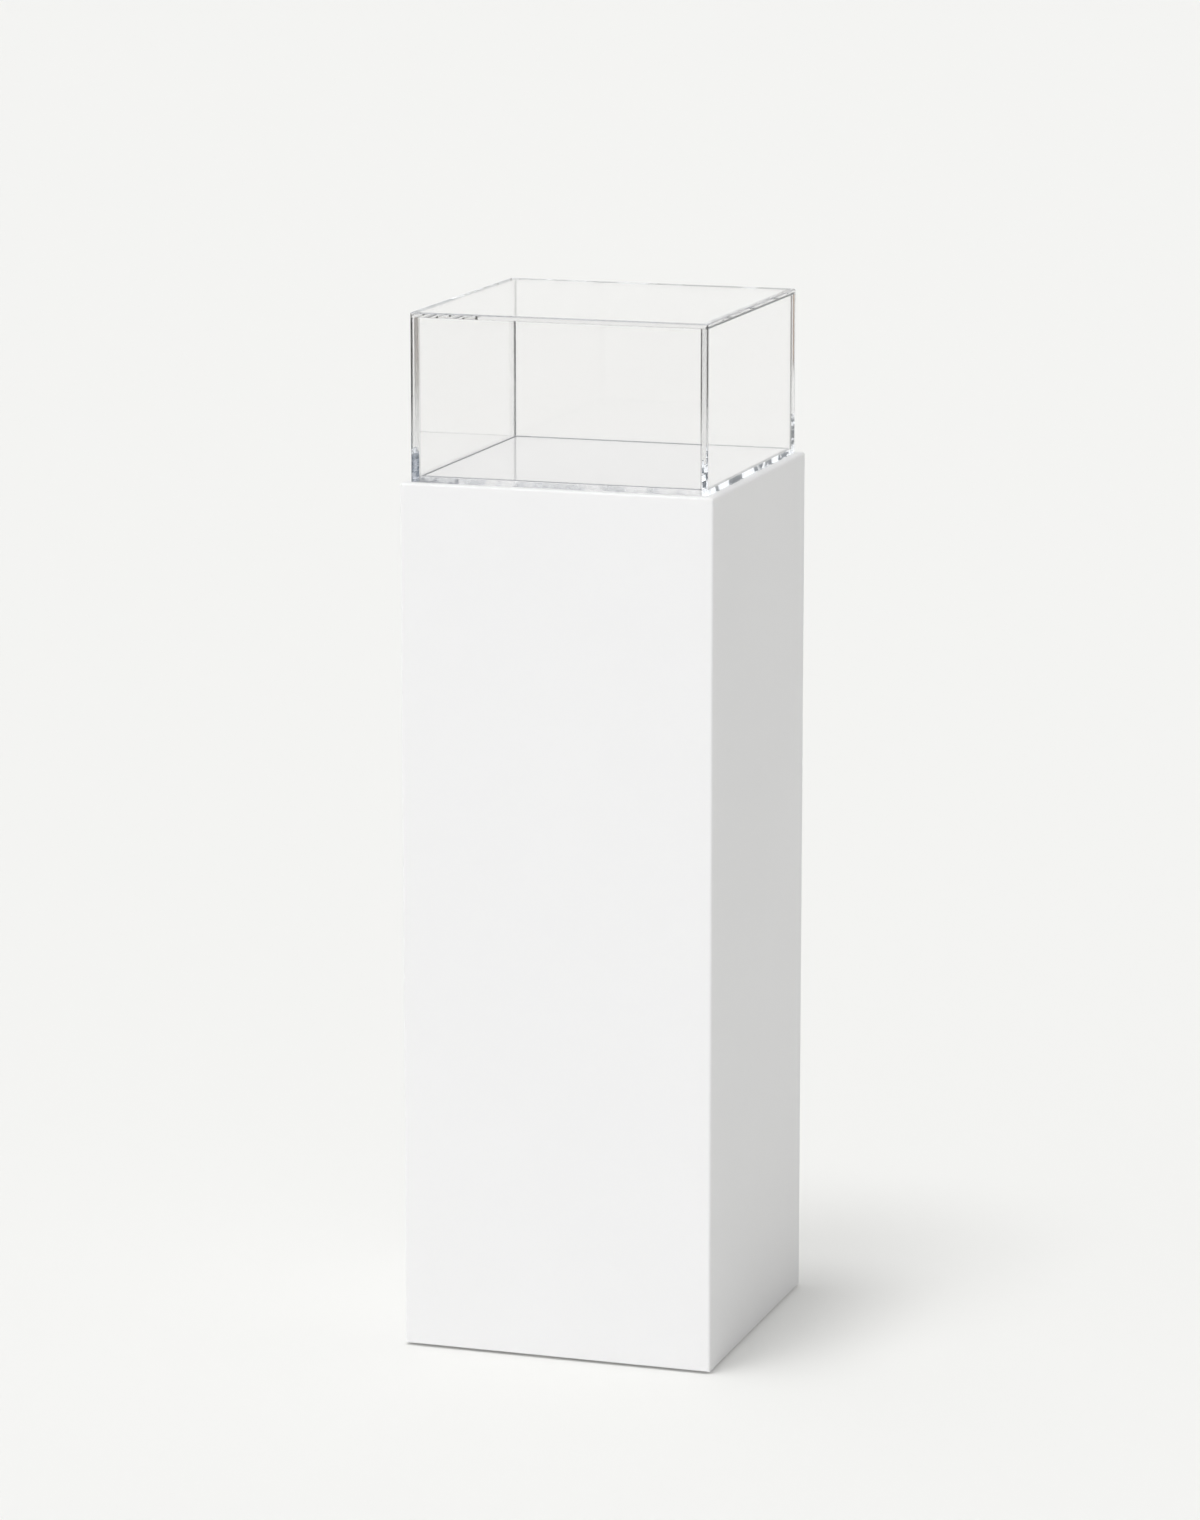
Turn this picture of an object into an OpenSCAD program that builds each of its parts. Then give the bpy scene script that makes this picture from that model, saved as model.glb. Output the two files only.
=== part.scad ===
// Pedestal display case: a square lacquered plinth of mitred boards with a raised display
// deck on top, and a loose five-sided clear cover that stands round the deck.
// Millimetres. The origin is on the floor under the middle of the plinth, Z is up and the
// front faces -Y.

/* [Plinth] */
// Width and depth of the square plinth
plinth_w = 365; // [300:5:450]
// Height of the plinth's top above the floor
plinth_h = 1000; // [800:10:1200]
// Thickness of the wall, top and base boards
board_t = 18; // [15:1:22]
// Radius of the rounded outer edges
arris_r = 3; // [1:0.5:5]
// Bevel round the bottom edge of the walls
foot_bevel = 1; // [0.5:0.5:3]

/* [Inner frame] */
// Side of the square corner battens
batten_w = 25; // [18:1:35]
// How far the cleats stand off the walls
cleat_w = 20; // [15:1:30]
// Height of the cleats
cleat_h = 25; // [20:1:40]
// Thickness of the stiffening board half way up
diaphragm_t = 12; // [9:1:15]
// Depth of the wall grooves that hold the stiffening board
groove_depth = 4; // [3:0.5:6]
// Diameter of the hole in the stiffening board
diaphragm_hole_d = 90; // [40:5:110]

/* [Joints] */
// Length of a mitre biscuit before its tips are cut off
biscuit_len = 50; // [40:1:54]
// Width of a mitre biscuit across its middle
biscuit_w = 15; // [12:1:17]
// Thickness of a mitre biscuit
biscuit_t = 4; // [3:0.5:5]
// Biscuits in each upright corner
biscuits_per_corner = 4; // [3:1:6]
// Biscuits in each top edge
biscuits_per_edge = 2; // [2:1:3]
// Shank diameter of the wood screws
screw_d = 4; // [3:0.5:5]
// Length of the screws that hold the base to the cleats, under their heads
base_screw_len = 32; // [28:1:40]
// Length of the screws that hold the deck down, under their heads
deck_screw_len = 18; // [17:0.5:19]

/* [Glides] */
// Diameter of each nylon glide
glide_d = 24; // [20:1:35]
// Height of the glides, which is the gap under the plinth
glide_h = 3; // [2.5:0.5:5]
// Distance from the plinth's outside to the middle of a glide
glide_inset = 42; // [38:1:70]

/* [Deck] */
// Thickness of the raised display deck
deck_t = 6; // [5.5:0.5:8]
// Clearance between the deck and the cover all round
deck_gap = 0.5; // [0.3:0.1:1]
// Radius of the deck's upper edges
deck_arris_r = 1; // [0.5:0.5:2]
// How far the dust seal round the deck's rim stands up
seal_h = 0.8; // [0.6:0.1:1.6]
// Width of the dust seal
seal_w = 1.2; // [0.8:0.1:2]

/* [Cover] */
// Ledge of the plinth left outside the cover
cover_margin = 10; // [5:1:20]
// Height of the cover
cover_h = 190; // [120:5:400]
// Thickness of the cover's four upright panes
wall_pane_t = 8; // [5:1:10]
// Thickness of the cover's top pane
top_pane_t = 6; // [5:1:10]
// Bevel on the cover's polished outer edges
pane_bevel = 0.5; // [0.3:0.1:1]

/* [Hidden] */

$fn = 64;
lens_fn = 128;
eps = 0.01;
// How far a cutting shape reaches past what it cuts
over = 1;

// Plinth
half_w = plinth_w / 2;
inner_half = half_w - board_t;
wall_z = glide_h;
base_top_z = wall_z + board_t;
top_panel_z = plinth_h - board_t;
base_gap = 0.5;

// Inner frame
batten_half = inner_half - batten_w;
batten_relief = 3;
inner_edge_bevel = 2;
cleat_end_gap = 0.5;
cleat_len = 2 * (batten_half - cleat_end_gap);
diaphragm_z = (base_top_z + top_panel_z) / 2 - diaphragm_t / 2;

// Biscuits sit square to the mitre, nearer its inner end so that they stay inside the boards
biscuit_from_inner_edge = 8;
biscuit_in = biscuit_from_inner_edge / sqrt(2);
biscuit_tip_cut = 3;
slot_extra = 1;
biscuit_end_z = 90;
biscuit_first_z = base_top_z + biscuit_end_z;
biscuit_last_z = top_panel_z - biscuit_end_z;
biscuit_edge_span = plinth_w / 2;

// Screws and nails
screw_r = screw_d / 2;
screw_hole_r = screw_r + 0.25;
pilot_r = screw_r + 0.05;
screw_head_r = 4;
screw_head_h = 2.4;
screw_head_bevel = 1;
screw_tip_len = 4;
// How much deeper a pilot hole is than the screw in it
pilot_spare = 0.5;
recess_w = 1;
recess_len = 4;
recess_depth = 1.5;
counterbore_r = 5;
base_counterbore = 5;
deck_counterbore = 4;
base_screw_half = 90;
deck_screw_half = 120;
base_pilot_depth = base_screw_len + base_counterbore - board_t + pilot_spare;
deck_pilot_depth = deck_screw_len + deck_counterbore - board_t + pilot_spare;
nail_r = 1.2;
nail_hole_r = nail_r + 0.05;
nail_head_r = 3.6;
nail_head_h = 0.9;
nail_len = 14;
nail_tip_len = 2.4;
glide_dish_r = 4;
glide_dish_depth = 1.3;
glide_bevel = 0.8;
glide_half = half_w - glide_inset;

// Deck and cover
cover_half = half_w - cover_margin;
cover_inner_half = cover_half - wall_pane_t;
deck_half = cover_inner_half - deck_gap;
seal_half = deck_half - deck_arris_r;
seal_corner_r = 3;
seal_groove_depth = 0.5;
wall_pane_h = cover_h - top_pane_t;

lacquer = [0.94, 0.94, 0.94];
softwood = [0.86, 0.74, 0.55];
board_core = [0.70, 0.58, 0.43];
beech = [0.83, 0.67, 0.48];
zinc = [0.78, 0.78, 0.75];
nylon = [0.92, 0.92, 0.90];
silicone = [0.55, 0.56, 0.57];
clear = [0.78, 0.88, 0.92, 0.30];

// ---- Outlines and helpers ----

// Square outline in plan with rounded corners
module rounded_square(half, r) {
    square([2 * half, 2 * (half - r)], center = true);
    square([2 * (half - r), 2 * half], center = true);
    for (x = [-1, 1], y = [-1, 1])
        translate([x * (half - r), y * (half - r)])
            circle(r);
}

// Upright outline whose two top corners are rounded
module arched_outline(half, h, r) {
    translate([-half, 0])
        square([2 * half, h - r]);
    translate([r - half, 0])
        square([2 * (half - r), h]);
    for (x = [-1, 1])
        translate([x * (half - r), h - r])
            circle(r);
}

// Stands a flat outline up: its x runs along Y and its y runs up, centred on X
module along_x(length) {
    rotate([90, 0, 90])
        linear_extrude(length, center = true)
            children();
}

// Stands a flat outline up: its x runs along X and its y runs up, centred on Y
module along_y(length) {
    rotate([90, 0, 0])
        linear_extrude(length, center = true)
            children();
}

// A slab rounded at its upright corners and round its top
module rounded_slab(half, h, r) {
    intersection() {
        linear_extrude(h)
            rounded_square(half, r);
        along_x(2 * (half + over))
            arched_outline(half, h, r);
        along_y(2 * (half + over))
            arched_outline(half, h, r);
    }
}

// ---- Biscuits ----

// Radius of the two arcs that meet in a lens of this length and width
function lens_r(len, w) = (len * len + w * w) / (4 * w);

// A biscuit or its slot: a flat lens with blunt tips, lying along X
module biscuit(grow = 0) {
    len = biscuit_len + 2 * grow;
    w = biscuit_w + grow;
    r = lens_r(len, w);
    linear_extrude(biscuit_t, center = true)
        intersection() {
            translate([0, w / 2 - r])
                circle(r, $fn = lens_fn);
            translate([0, r - w / 2])
                circle(r, $fn = lens_fn);
            square([len - 2 * biscuit_tip_cut, w], center = true);
        }
}

function corner_biscuit_z(i) =
    biscuit_first_z + i * (biscuit_last_z - biscuit_first_z) / (biscuits_per_corner - 1);
function edge_biscuit_x(i) =
    (i / (biscuits_per_edge - 1) - 0.5) * biscuit_edge_span;

// Upright row of biscuits in the corner between the front and right walls
module corner_biscuits(grow = 0) {
    for (i = [0 : biscuits_per_corner - 1])
        translate([inner_half + biscuit_in, -inner_half - biscuit_in, corner_biscuit_z(i)])
            rotate([0, 0, -45])
                rotate([0, -90, 0])
                    biscuit(grow);
}

// Row of biscuits in the mitre between the front wall and the top board
module edge_biscuits(grow = 0) {
    for (i = [0 : biscuits_per_edge - 1])
        translate([edge_biscuit_x(i), -inner_half - biscuit_in, top_panel_z + biscuit_in])
            rotate([45, 0, 0])
                biscuit(grow);
}

module mitre_biscuits() {
    color(beech)
        for (turn = [0 : 90 : 270])
            rotate([0, 0, turn]) {
                corner_biscuits();
                edge_biscuits();
            }
}

// ---- Plinth boards ----

// Plan of one wall: it narrows inwards along the two mitres
module wall_plan() {
    intersection() {
        rounded_square(half_w, arris_r);
        polygon([
            [-half_w, -half_w],
            [half_w, -half_w],
            [inner_half, -inner_half],
            [-inner_half, -inner_half]
        ]);
    }
}

// Section of one wall: bevelled at the foot, mitred and rounded at the top
module wall_section() {
    intersection() {
        arched_outline(half_w, plinth_h, arris_r);
        polygon([
            [foot_bevel - half_w, wall_z],
            [-inner_half, wall_z],
            [-inner_half, top_panel_z],
            [-half_w, plinth_h],
            [-half_w, wall_z + foot_bevel]
        ]);
    }
}

// One wall, turned from the front to its own side
module wall_panel(turn) {
    color(lacquer)
        rotate([0, 0, turn])
            difference() {
                intersection() {
                    linear_extrude(plinth_h)
                        wall_plan();
                    along_x(plinth_w + 2 * over)
                        wall_section();
                }
                corner_biscuits(slot_extra);
                rotate([0, 0, -90])
                    corner_biscuits(slot_extra);
                edge_biscuits(slot_extra);
                translate([-batten_half, -inner_half - groove_depth, diaphragm_z])
                    cube([2 * batten_half, groove_depth + over, diaphragm_t]);
            }
}

// Section of the top board: mitred both sides
module top_section() {
    intersection() {
        arched_outline(half_w, plinth_h, arris_r);
        polygon([
            [-inner_half, top_panel_z],
            [inner_half, top_panel_z],
            [half_w, plinth_h],
            [-half_w, plinth_h]
        ]);
    }
}

module top_panel() {
    color(lacquer)
        difference() {
            intersection() {
                linear_extrude(plinth_h)
                    rounded_square(half_w, arris_r);
                along_x(plinth_w + 2 * over)
                    top_section();
                along_y(plinth_w + 2 * over)
                    top_section();
            }
            for (turn = [0 : 90 : 270])
                rotate([0, 0, turn])
                    edge_biscuits(slot_extra);
            for (x = [-1, 1], y = [-1, 1])
                translate([x * deck_screw_half, y * deck_screw_half, top_panel_z - over]) {
                    cylinder(h = board_t + 2 * over, r = screw_hole_r);
                    cylinder(h = deck_counterbore + over, r = counterbore_r);
                }
        }
}

// Puts its children at the eight places where the base is screwed to the cleats
module at_base_screws() {
    for (turn = [0 : 90 : 270], x = [-1, 1])
        rotate([0, 0, turn])
            translate([x * base_screw_half, -inner_half + cleat_w / 2, wall_z])
                children();
}

// Puts its children at the four glides
module at_glides() {
    for (x = [-1, 1], y = [-1, 1])
        translate([x * glide_half, y * glide_half, 0])
            children();
}

module base_panel() {
    color(board_core)
        difference() {
            translate([base_gap - inner_half, base_gap - inner_half, wall_z])
                cube([2 * (inner_half - base_gap), 2 * (inner_half - base_gap), board_t]);
            at_base_screws()
                translate([0, 0, -over]) {
                    cylinder(h = board_t + 2 * over, r = screw_hole_r);
                    cylinder(h = base_counterbore + over, r = counterbore_r);
                }
            at_glides()
                translate([0, 0, wall_z - over])
                    cylinder(h = nail_len, r = nail_hole_r);
        }
}

// ---- Inner frame ----

// Corner batten of the front right corner, turned to its own corner
module corner_batten(turn) {
    color(softwood)
        rotate([0, 0, turn])
            translate([batten_half, -inner_half, base_top_z])
                linear_extrude(top_panel_z - base_top_z)
                    polygon([
                        [0, 0],
                        [batten_w - batten_relief, 0],
                        [batten_w, batten_relief],
                        [batten_w, batten_w],
                        [inner_edge_bevel, batten_w],
                        [0, batten_w - inner_edge_bevel]
                    ]);
}

// Section of a cleat on the front wall, with its foot at y = 0 and its free edge eased
module cleat_section(eased_y) {
    free_y = cleat_h - eased_y;
    step = eased_y > 0 ? -inner_edge_bevel : inner_edge_bevel;
    polygon([
        [0, free_y],
        [cleat_w, free_y],
        [cleat_w, eased_y + step],
        [cleat_w - inner_edge_bevel, eased_y],
        [0, eased_y]
    ]);
}

// Top cleat of the front wall, turned to its own wall
module top_cleat(turn) {
    color(softwood)
        rotate([0, 0, turn])
            translate([0, -inner_half, top_panel_z - cleat_h])
                along_x(cleat_len)
                    cleat_section(0);
}

// Base cleat of the front wall, turned to its own wall, with its two pilot holes
module base_cleat(turn) {
    color(softwood)
        rotate([0, 0, turn])
            difference() {
                translate([0, -inner_half, base_top_z])
                    along_x(cleat_len)
                        cleat_section(cleat_h);
                for (x = [-1, 1])
                    translate([x * base_screw_half, cleat_w / 2 - inner_half, base_top_z - over])
                        cylinder(h = base_pilot_depth + over, r = pilot_r);
            }
}

// Stiffening board let into the walls' grooves and notched round the battens
module mid_diaphragm() {
    reach = inner_half + groove_depth;
    color(board_core)
        translate([0, 0, diaphragm_z])
            linear_extrude(diaphragm_t)
                difference() {
                    union() {
                        square([2 * reach, 2 * batten_half], center = true);
                        square([2 * batten_half, 2 * reach], center = true);
                    }
                    circle(d = diaphragm_hole_d);
                }
}

// ---- Fasteners and glides ----

// Pan-head wood screw pointing up, its head's seat at the origin
module wood_screw(len) {
    difference() {
        rotate_extrude()
            polygon([
                [0, -screw_head_h],
                [screw_head_r - screw_head_bevel, -screw_head_h],
                [screw_head_r, screw_head_bevel - screw_head_h],
                [screw_head_r, 0],
                [screw_r, 0],
                [screw_r, len - screw_tip_len],
                [0, len]
            ]);
        for (turn = [0, 90])
            rotate([0, 0, turn])
                translate([0, 0, recess_depth / 2 - screw_head_h])
                    cube([recess_len, recess_w, recess_depth + eps], center = true);
    }
}

module base_screws() {
    color(zinc)
        at_base_screws()
            translate([0, 0, base_counterbore])
                wood_screw(base_screw_len);
}

module deck_screws() {
    color(zinc)
        for (x = [-1, 1], y = [-1, 1])
            translate([
                x * deck_screw_half,
                y * deck_screw_half,
                top_panel_z + deck_counterbore
            ])
                wood_screw(deck_screw_len);
}

// Moulded nylon glide: a bevelled disc dished underneath for its nail
module glide(x, y) {
    r = glide_d / 2;
    color(nylon)
        translate([x * glide_half, y * glide_half, 0])
            rotate_extrude()
                polygon([
                    [glide_dish_r, 0],
                    [r - glide_bevel, 0],
                    [r, glide_bevel],
                    [r, glide_h],
                    [nail_hole_r, glide_h],
                    [nail_hole_r, glide_dish_depth],
                    [glide_dish_r, glide_dish_depth]
                ]);
}

module glide_nails() {
    color(zinc)
        at_glides()
            translate([0, 0, glide_dish_depth])
                rotate_extrude()
                    polygon([
                        [0, -nail_head_h],
                        [nail_head_r, -nail_head_h],
                        [nail_head_r, 0],
                        [nail_r, 0],
                        [nail_r, nail_len - nail_tip_len],
                        [0, nail_len]
                    ]);
}

// ---- Deck ----

// The dust seal's ring, or its groove, from its foot up
module seal_ring(h) {
    translate([0, 0, deck_t - seal_groove_depth])
        linear_extrude(h)
            difference() {
                rounded_square(seal_half, seal_corner_r);
                rounded_square(seal_half - seal_w, seal_corner_r - seal_w);
            }
}

module deck_board() {
    color(lacquer)
        translate([0, 0, plinth_h])
            difference() {
                rounded_slab(deck_half, deck_t, deck_arris_r);
                seal_ring(seal_groove_depth + over);
                for (x = [-1, 1], y = [-1, 1])
                    translate([x * deck_screw_half, y * deck_screw_half, -over])
                        cylinder(h = deck_pilot_depth + over, r = pilot_r);
            }
}

// Soft seal let into the deck's rim, just inside the cover
module dust_seal() {
    color(silicone)
        translate([0, 0, plinth_h])
            seal_ring(seal_groove_depth + seal_h);
}

// ---- Cover ----

// Square outline whose corners are cut off by the polished bevel
module bevelled_square(half, b) {
    polygon([
        [b - half, -half],
        [half - b, -half],
        [half, b - half],
        [half, half - b],
        [half - b, half],
        [b - half, half],
        [-half, half - b],
        [-half, b - half]
    ]);
}

// Upright outline whose two top corners are cut off by the polished bevel
module bevelled_arch(half, h, b) {
    polygon([
        [-half, 0],
        [half, 0],
        [half, h - b],
        [half - b, h],
        [b - half, h],
        [-half, h - b]
    ]);
}

// The cover's whole outer block, which the panes share out between them
module cover_block() {
    translate([0, 0, plinth_h])
        intersection() {
            linear_extrude(cover_h)
                bevelled_square(cover_half, pane_bevel);
            along_x(2 * (cover_half + over))
                bevelled_arch(cover_half, cover_h, pane_bevel);
            along_y(2 * (cover_half + over))
                bevelled_arch(cover_half, cover_h, pane_bevel);
        }
}

// Front pane, as wide as the cover, turned to the front or back
module wide_pane(turn) {
    color(clear)
        rotate([0, 0, turn])
            intersection() {
                cover_block();
                translate([-cover_half, -cover_half, plinth_h])
                    cube([2 * cover_half, wall_pane_t, wall_pane_h]);
            }
}

// Side pane, butted between the front and back panes
module side_pane(side) {
    color(clear)
        translate([
            side > 0 ? cover_inner_half : -cover_half,
            -cover_inner_half,
            plinth_h
        ])
            cube([wall_pane_t, 2 * cover_inner_half, wall_pane_h]);
}

// Top pane, lying on the four upright panes
module cover_top_pane() {
    color(clear)
        intersection() {
            cover_block();
            translate([-cover_half, -cover_half, plinth_h + wall_pane_h])
                cube([2 * cover_half, 2 * cover_half, top_pane_t + over]);
        }
}

wall_panel(0);  // front_panel
wall_panel(90);  // right_panel
wall_panel(180);  // back_panel
wall_panel(270);  // left_panel
top_panel();
base_panel();
corner_batten(0);  // corner_batten_front_right
corner_batten(90);  // corner_batten_back_right
corner_batten(180);  // corner_batten_back_left
corner_batten(270);  // corner_batten_front_left
top_cleat(0);  // top_cleat_front
top_cleat(90);  // top_cleat_right
top_cleat(180);  // top_cleat_back
top_cleat(270);  // top_cleat_left
base_cleat(0);  // base_cleat_front
base_cleat(90);  // base_cleat_right
base_cleat(180);  // base_cleat_back
base_cleat(270);  // base_cleat_left
mid_diaphragm();
mitre_biscuits();
base_screws();
deck_board();
dust_seal();
deck_screws();
glide(-1, -1);  // glide_front_left
glide(1, -1);  // glide_front_right
glide(-1, 1);  // glide_back_left
glide(1, 1);  // glide_back_right
glide_nails();
wide_pane(0);  // cover_front_pane
wide_pane(180);  // cover_back_pane
side_pane(-1);  // cover_left_pane
side_pane(1);  // cover_right_pane
cover_top_pane();
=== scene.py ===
"""Looks of a pedestal display case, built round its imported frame.

A lacquered square plinth carries a raised display deck, and a loose clear cover stands
round the deck. All lengths are metres in the frame's own axes: Z up, the front faces -Y.
"""

import logging
import math
from collections.abc import Callable, Iterator, Mapping
from contextlib import contextmanager
from dataclasses import dataclass, field
from enum import Enum
from typing import Any, ClassVar, TypeAlias

import bmesh
import bpy
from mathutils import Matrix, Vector


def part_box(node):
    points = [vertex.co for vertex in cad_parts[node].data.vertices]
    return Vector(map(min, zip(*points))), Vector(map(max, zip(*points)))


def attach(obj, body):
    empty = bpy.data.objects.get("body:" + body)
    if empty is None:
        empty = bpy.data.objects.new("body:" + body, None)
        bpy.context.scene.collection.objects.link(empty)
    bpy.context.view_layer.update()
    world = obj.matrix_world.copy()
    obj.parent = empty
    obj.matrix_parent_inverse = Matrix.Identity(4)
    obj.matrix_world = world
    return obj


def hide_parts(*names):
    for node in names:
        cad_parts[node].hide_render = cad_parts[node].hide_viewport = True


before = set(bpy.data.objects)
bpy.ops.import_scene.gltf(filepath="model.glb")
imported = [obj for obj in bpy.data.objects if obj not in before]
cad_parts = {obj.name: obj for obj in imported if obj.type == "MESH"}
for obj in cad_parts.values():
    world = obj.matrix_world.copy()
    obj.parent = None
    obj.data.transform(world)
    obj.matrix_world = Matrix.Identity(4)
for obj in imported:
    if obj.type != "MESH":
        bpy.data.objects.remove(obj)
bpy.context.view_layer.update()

LOG = logging.getLogger("display_case")
MM = 0.001

# Corners this close, in metres, count as one place, or are merged into one
NEAR = 1e-5
WELD = 1e-6

# Part of a face's unit normal that says which way it faces
FACES_DOWN = -0.5
FACES_UP = 0.3
SQUARE_ON = 0.9

# Edges that are shaded round, and how far large flats lead the shading
SMOOTH_BELOW = math.radians(40)
FLATS_FIRST = 100

Triple = tuple[float, float, float]
Colour = tuple[float, float, float]
Span = tuple[float, float]
Setting = Mapping[str, Any]
Rule = Callable[[Vector, Vector], bool]
Operand: TypeAlias = "Signal | float"
Paint: TypeAlias = "Colour | bpy.types.NodeSocket"


# ---- Shader nodes ----


class Signal:
    """One number that comes out of a shader node; sums written on it add Math nodes."""

    def __init__(self, sheet: "NodeSheet", socket: bpy.types.NodeSocket) -> None:
        """Keep the output socket that carries the number, and the sheet for new nodes."""
        self.sheet = sheet
        self.socket = socket

    def _maths(self, operation: str, left: Operand, right: Operand) -> "Signal":
        """Result of a Math node on two operands, each a number or a Signal."""
        node = self.sheet.node("Math", {"operation": operation}, {0: left, 1: right})
        return self.sheet.out(node, 0)

    def __add__(self, other: Operand) -> "Signal":
        """Sum of this and another number."""
        return self._maths("ADD", self, other)

    def __radd__(self, other: Operand) -> "Signal":
        """Sum with a plain number on the left."""
        return self._maths("ADD", other, self)

    def __sub__(self, other: Operand) -> "Signal":
        """Difference of this and another number."""
        return self._maths("SUBTRACT", self, other)

    def __rsub__(self, other: Operand) -> "Signal":
        """Difference with a plain number on the left."""
        return self._maths("SUBTRACT", other, self)

    def __mul__(self, other: Operand) -> "Signal":
        """Product of this and another number."""
        return self._maths("MULTIPLY", self, other)

    def __rmul__(self, other: Operand) -> "Signal":
        """Product with a plain number on the left."""
        return self._maths("MULTIPLY", other, self)

    def largest(self, other: Operand) -> "Signal":
        """The larger of this and another number."""
        return self._maths("MAXIMUM", self, other)


class NodeSheet:
    """A node tree that is filled by one method, whatever the node."""

    def __init__(self, tree: bpy.types.NodeTree) -> None:
        """Start on the tree of a material or a world, emptied."""
        self.tree = tree
        tree.nodes.clear()

    def node(
        self, kind: str, settings: Setting | None = None, inputs: Mapping[Any, Any] | None = None
    ) -> bpy.types.Node:
        """Add any node.

        Args:
            kind: The node's type without its ShaderNode prefix.
            settings: Properties to set first, such as an operation.
            inputs: Values, Signals or sockets by input name or index.

        Returns:
            The new node.
        """
        made = self.tree.nodes.new("ShaderNode" + kind)
        for name, value in (settings or {}).items():
            setattr(made, name, value)
        for key, value in (inputs or {}).items():
            socket = made.inputs[key]
            source = value.socket if isinstance(value, Signal) else value
            if isinstance(source, bpy.types.NodeSocket):
                self.tree.links.new(source, socket)
            elif isinstance(source, tuple) and len(source) == 3 and socket.type == "RGBA":
                socket.default_value = (*source, 1.0)
            else:
                socket.default_value = source
        return made

    def out(self, made: bpy.types.Node, key: str | int) -> Signal:
        """Output of a node as a Signal."""
        return Signal(self, made.outputs[key])

    def place(self) -> bpy.types.NodeSocket:
        """Object coordinates, in metres in the frame's axes."""
        return self.node("TexCoord").outputs["Object"]

    def stretched(self, by: Triple) -> bpy.types.NodeSocket:
        """Object coordinates scaled along X, Y and Z, for the grain of wood."""
        mapping = self.node("Mapping", {}, {"Vector": self.place(), "Scale": by})
        return mapping.outputs["Vector"]

    def noise(
        self, where: bpy.types.NodeSocket, scale: float, detail: float = 2.0, twist: float = 0.0
    ) -> Signal:
        """A smooth random value from 0 to 1; its scale is in cells to the metre."""
        values = {"Vector": where, "Scale": scale, "Detail": detail, "Distortion": twist}
        return self.out(self.node("TexNoise", {}, values), 0)

    def between(self, factor: Signal, low: Paint, high: Paint) -> bpy.types.NodeSocket:
        """A colour mixed from two by a factor.

        Args:
            factor: Share of the second colour.
            low: Colour where the factor is 0.
            high: Colour where the factor is 1.

        Returns:
            The mixed colour.
        """
        settings = {"data_type": "RGBA", "clamp_factor": True}
        mixed = self.node("Mix", settings, {0: factor, 6: low, 7: high})
        return mixed.outputs[2]

    def stepped(self, value: Signal, start: float, end: float) -> Signal:
        """A smooth step from 0 at start to 1 at end.

        Args:
            value: The number that is stepped.
            start: Where the step begins.
            end: Where the step is complete.

        Returns:
            The stepped value.
        """
        values = {"Value": value, "From Min": start, "From Max": end}
        made = self.node("MapRange", {"interpolation_type": "SMOOTHSTEP"}, values)
        return self.out(made, "Result")

    def bump(self, height: Signal, depth: float, strength: float) -> bpy.types.NodeSocket:
        """A normal raised by a height, of which 1 stands for the depth, in metres."""
        values = {"Height": height, "Distance": depth, "Strength": strength}
        return self.node("Bump", {}, values).outputs["Normal"]

    def show(self, shader: bpy.types.Node) -> None:
        """Send a shader to the surface output."""
        self.node("OutputMaterial", {}, {"Surface": shader.outputs[0]})

    def coat(self, inputs: Mapping[str, Any]) -> None:
        """Show a Principled surface with these inputs."""
        self.show(self.node("BsdfPrincipled", {}, inputs))


def new_material(name: str) -> tuple[bpy.types.Material, NodeSheet]:
    """Make an empty node material.

    Args:
        name: The material's name.

    Returns:
        The material and its empty sheet.
    """
    material = bpy.data.materials.new(name)
    material.use_nodes = True
    return material, NodeSheet(material.node_tree)


# ---- Finishes ----


@dataclass(frozen=True)
class Lacquer:
    """Sprayed lacquer: faint clouding, fine orange peel and a slightly uneven sheen."""

    colour: Colour = (0.868, 0.867, 0.867)
    clouded: Colour = (0.850, 0.849, 0.849)
    sheen: float = 0.52
    sheen_spread: float = 0.08
    shine: float = 0.25
    cloud_scale: float = 4.0
    wave_scale: float = 55.0
    wave_share: float = 0.25
    peel_scale: float = 420.0
    peel_depth: float = 0.02 * MM
    peel_strength: float = 0.35

    def build(self, name: str) -> bpy.types.Material:
        """Make the material.

        Args:
            name: The material's name.

        Returns:
            The finished material.
        """
        material, sheet = new_material(name)
        place = sheet.place()
        clouds = sheet.noise(place, self.cloud_scale, detail=3.0, twist=0.4)
        peel = sheet.noise(place, self.peel_scale, detail=1.0)
        waves = sheet.noise(place, self.wave_scale)
        height = peel * (1 - self.wave_share) + waves * self.wave_share
        unevenness = clouds + waves * 0.5 - 0.75
        roughness = self.sheen + unevenness * self.sheen_spread
        sheet.coat(
            {
                "Base Color": sheet.between(clouds, self.colour, self.clouded),
                "Roughness": roughness,
                "Specular IOR Level": self.shine,
                "Normal": sheet.bump(height, self.peel_depth, self.peel_strength),
            }
        )
        return material


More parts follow.
